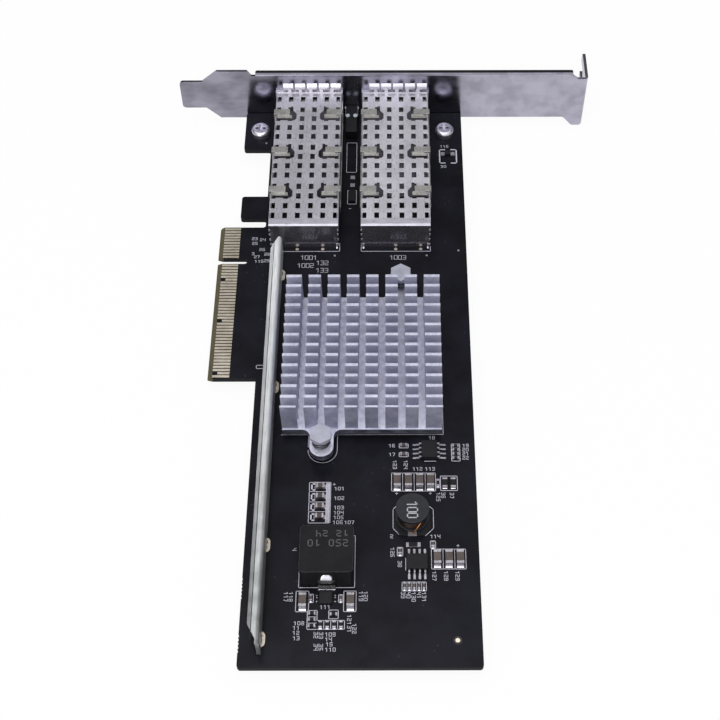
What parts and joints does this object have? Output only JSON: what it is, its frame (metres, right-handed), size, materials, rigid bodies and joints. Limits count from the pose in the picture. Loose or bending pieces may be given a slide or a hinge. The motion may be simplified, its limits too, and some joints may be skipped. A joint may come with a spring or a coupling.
{
  "type": "network interface card",
  "caption": "Low-height expansion card: board with edge contacts, finned heat sink on spring pins, ported I/O bracket and perforated plug-in cages.",
  "frame": {"origin": "outer edge of the edge connector, level with the centre of its key notch, on the board's component face", "axes": "+X across the board away from the edge connector, +Y along the board towards the I/O bracket, +Z out of the component face"},
  "size_m": [0.12, 0.1871, 0.0218],
  "materials": {
    "solder_mask": "glossy black solder mask over glass-epoxy",
    "gold_plate": "hard gold plate",
    "bracket_steel": "bright plated steel sheet",
    "screw_steel": "bright nickel plate",
    "black_plastic": "moulded black plastic",
    "led_lens": "clear moulded lens",
    "sink_aluminium": "extruded and cross-cut aluminium",
    "pin_plastic": "moulded nylon",
    "spring_steel": "spring wire",
    "bar_steel": "bright plated steel sheet",
    "ferrite": "pressed iron powder",
    "tinned_copper": "tin plate",
    "copper_wire": "enamelled copper wire",
    "chip_epoxy": "moulded epoxy",
    "ceramic": "fired brown ceramic",
    "thermal_pad": "filled silicone sheet",
    "cage_steel": "bright tin plate on sheet steel",
    "spring_strip": "spring steel strip"
  },
  "bodies": {
    "root": {"bracket": "bracket_steel", "bracket_screws": "screw_steel", "cage_clip_left": "spring_strip", "cage_clip_right": "spring_strip", "cage_cover_left": "cage_steel", "cage_cover_right": "cage_steel", "cage_left": "cage_steel", "cage_right": "cage_steel", "ceramic_capacitor_bodies": "ceramic", "ceramic_capacitor_terminals": "tinned_copper", "chip_resistor_bodies": "chip_epoxy", "chip_resistor_terminals": "tinned_copper", "controller_chip": "chip_epoxy", "diode_body": "chip_epoxy", "diode_terminals": "tinned_copper", "drum_inductor_core": "ferrite", "drum_inductor_terminals": "tinned_copper", "drum_inductor_winding": "copper_wire", "edge_fingers_component_side": "gold_plate", "edge_fingers_solder_side": "gold_plate", "emi_collar_left": "spring_strip", "emi_collar_right": "spring_strip", "gold_lands": "gold_plate", "ground_rings": "gold_plate", "heat_sink": "sink_aluminium", "host_connector_left": "black_plastic", "host_connector_right": "black_plastic", "led_holder": "black_plastic", "led_lenses": "led_lens", "oscillator": "chip_epoxy", "pcb": "solder_mask", "power_inductor_body": "ferrite", "power_inductor_terminals": "tinned_copper", "push_pin_springs": "spring_steel", "push_pins": "pin_plastic", "regulator_chip": "chip_epoxy", "small_capacitor_bodies": "ceramic", "small_capacitor_terminals": "tinned_copper", "small_outline_bodies": "chip_epoxy", "small_outline_leads": "tinned_copper", "stiffener_bar": "bar_steel", "thermal_pad": "thermal_pad", "tinned_lands": "tinned_copper"}
  },
  "joints": []
}
